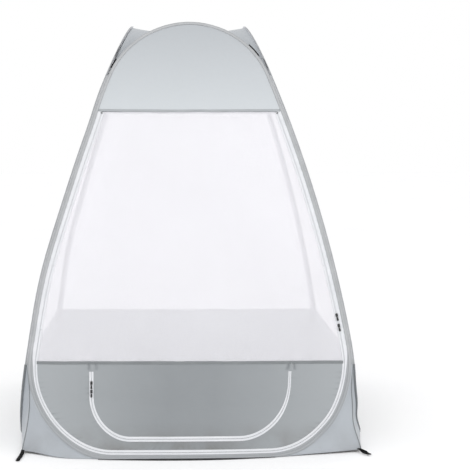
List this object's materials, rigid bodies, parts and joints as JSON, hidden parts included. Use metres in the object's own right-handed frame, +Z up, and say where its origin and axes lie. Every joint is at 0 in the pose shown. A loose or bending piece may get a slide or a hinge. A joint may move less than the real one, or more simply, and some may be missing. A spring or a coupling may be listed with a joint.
{
  "type": "privacy shower tent",
  "caption": "Pop-up changing and shower tent on sprung hoops, with sheer mesh walls, a zipped pleating door with a lower hatch, and peg loops.",
  "frame": {"origin": "middle of the base, on the ground", "axes": "+Z up, door faces -Y, +X to the right of someone facing the door"},
  "size_m": [1.544, 1.74, 1.9],
  "materials": {
    "oxford_grey": "plain-woven polyester, matt with a faint sheen",
    "oxford_pale": "plain-woven polyester, matt with a faint sheen",
    "binding_grey": "folded binding tape, stitched both edges",
    "sheer_mesh": "fine see-through netting",
    "zip_white": "woven tape with a nylon coil",
    "slider_metal": "dark enamel",
    "spring_steel": "tempered strip",
    "webbing_black": "flat woven webbing"
  },
  "bodies": {
    "shell": {"hoop_front": "spring_steel", "sleeve_front": "binding_grey", "header_front": "oxford_pale", "hoop_right": "spring_steel", "sleeve_right": "binding_grey", "header_right": "oxford_pale", "hoop_back": "spring_steel", "sleeve_back": "binding_grey", "header_back": "oxford_pale", "hoop_left": "spring_steel", "sleeve_left": "binding_grey", "header_left": "oxford_pale", "hoop_ferrules": "spring_steel", "mesh_right": "sheer_mesh", "band_right": "oxford_grey", "mesh_back": "sheer_mesh", "band_back": "oxford_grey", "mesh_left": "sheer_mesh", "band_left": "oxford_grey", "gusset_front_right": "oxford_pale", "corner_strip_front_right": "binding_grey", "gusset_back_right": "oxford_pale", "corner_strip_back_right": "binding_grey", "gusset_back_left": "oxford_pale", "corner_strip_back_left": "binding_grey", "gusset_front_left": "oxford_pale", "corner_strip_front_left": "binding_grey", "header_hem": "binding_grey", "band_hem": "oxford_grey", "roof_panel": "oxford_pale", "floor_panel": "oxford_grey", "door_zip_frame": "zip_white", "door_zip_stops": "slider_metal", "door_mesh_1": "sheer_mesh", "door_zip_1": "zip_white"},
    "door_pleat_2": {"door_mesh_2": "sheer_mesh", "door_zip_2": "zip_white"},
    "door_pleat_3": {"door_mesh_3": "sheer_mesh", "door_zip_3": "zip_white"},
    "door_pleat_4": {"door_mesh_4": "sheer_mesh", "door_zip_4": "zip_white"},
    "door_lower": {"door_band": "oxford_grey", "door_zip_5": "zip_white", "door_hem": "oxford_grey", "hatch_zip_frame": "zip_white"},
    "hatch": {"hatch_panel": "oxford_grey", "hatch_zip_flap": "zip_white"},
    "door_upper_slider": {"door_slider_upper": "slider_metal"},
    "door_upper_pull": {"door_pull_upper": "slider_metal"},
    "door_lower_slider": {"door_slider_lower": "slider_metal"},
    "door_lower_pull": {"door_pull_lower": "slider_metal"},
    "hatch_upper_slider": {"hatch_slider_upper": "slider_metal"},
    "hatch_upper_pull": {"hatch_pull_upper": "slider_metal"},
    "hatch_lower_slider": {"hatch_slider_lower": "slider_metal"},
    "hatch_lower_pull": {"hatch_pull_lower": "slider_metal"},
    "front_right_peg_loop": {"peg_loop_front_right": "webbing_black"},
    "back_right_peg_loop": {"peg_loop_back_right": "webbing_black"},
    "back_left_peg_loop": {"peg_loop_back_left": "webbing_black"},
    "front_left_peg_loop": {"peg_loop_front_left": "webbing_black"}
  },
  "joints": [
    {"name": "door_fold_1", "type": "hinge", "parent": "shell", "child": "door_pleat_2", "pos_m": [0, -0.5365, 1.215], "axis": [-1, 0, 0], "range_deg": [0, 176]},
    {"name": "door_fold_2", "type": "hinge", "parent": "door_pleat_2", "child": "door_pleat_3", "pos_m": [0, -0.58895, 0.945], "axis": [-1, 0, 0], "range_deg": [-176, 0]},
    {"name": "door_fold_3", "type": "hinge", "parent": "door_pleat_3", "child": "door_pleat_4", "pos_m": [0, -0.67695, 0.672], "axis": [-1, 0, 0], "range_deg": [0, 176]},
    {"name": "door_fold_4", "type": "hinge", "parent": "door_pleat_4", "child": "door_lower", "pos_m": [0, -0.70385, 0.4], "axis": [-1, 0, 0], "range_deg": [-176, 0]},
    {"name": "hatch_hinge", "type": "hinge", "parent": "door_lower", "child": "hatch", "pos_m": [0.003, -0.72719, 0.338], "axis": [-1, 0, 0], "range_deg": [0, 110]},
    {"name": "door_upper_slide", "type": "slide", "parent": "door_pleat_4", "child": "door_upper_slider", "axis": [-0.1908, 0.1901, 0.963], "range_m": [0, 0.03]},
    {"name": "door_upper_pull_pin", "type": "hinge", "parent": "door_upper_slider", "child": "door_upper_pull", "pos_m": [0.6392, -0.68712, 0.59632], "axis": [-0.9816, -0.0369, -0.1872], "range_deg": [0, 170]},
    {"name": "door_lower_slide", "type": "slide", "parent": "door_pleat_4", "child": "door_lower_slider", "axis": [-0.1839, 0.1831, 0.9657], "range_m": [-0.115, 0]},
    {"name": "door_lower_pull_pin", "type": "hinge", "parent": "door_lower_slider", "child": "door_lower_pull", "pos_m": [0.64793, -0.69583, 0.55126], "axis": [-0.983, -0.0343, -0.1806], "range_deg": [0, 170]},
    {"name": "hatch_upper_slide", "type": "slide", "parent": "hatch", "child": "hatch_upper_slider", "axis": [0, 0.1468, 0.9892], "range_m": [0, 0.004]},
    {"name": "hatch_upper_pull_pin", "type": "hinge", "parent": "hatch_upper_slider", "child": "hatch_upper_pull", "pos_m": [-0.431, -0.73689, 0.30798], "axis": [-1, 0, 0], "range_deg": [0, 170]},
    {"name": "hatch_lower_slide", "type": "slide", "parent": "hatch", "child": "hatch_lower_slider", "axis": [0, 0.1409, 0.99], "range_m": [-0.012, 0]},
    {"name": "hatch_lower_pull_pin", "type": "hinge", "parent": "hatch_lower_slider", "child": "hatch_lower_pull", "pos_m": [-0.431, -0.74212, 0.27194], "axis": [-1, 0, 0], "range_deg": [0, 170]},
    {"name": "front_right_loop_seam", "type": "hinge", "parent": "shell", "child": "front_right_peg_loop", "pos_m": [0.729, -0.745, 0.0055], "axis": [-1, 0, 0], "range_deg": [0, 90]},
    {"name": "back_right_loop_seam", "type": "hinge", "parent": "shell", "child": "back_right_peg_loop", "pos_m": [0.729, 0.745, 0.0055], "axis": [1, 0, 0], "range_deg": [0, 90]},
    {"name": "back_left_loop_seam", "type": "hinge", "parent": "shell", "child": "back_left_peg_loop", "pos_m": [-0.729, 0.745, 0.0055], "axis": [1, 0, 0], "range_deg": [0, 90]},
    {"name": "front_left_loop_seam", "type": "hinge", "parent": "shell", "child": "front_left_peg_loop", "pos_m": [-0.729, -0.745, 0.0055], "axis": [-1, 0, 0], "range_deg": [0, 90]}
  ],
  "couplings": [
    {"joint": "door_fold_2", "follows": "door_fold_1", "ratio": -1},
    {"joint": "door_fold_3", "follows": "door_fold_1", "ratio": 1},
    {"joint": "door_fold_4", "follows": "door_fold_1", "ratio": -1}
  ]
}
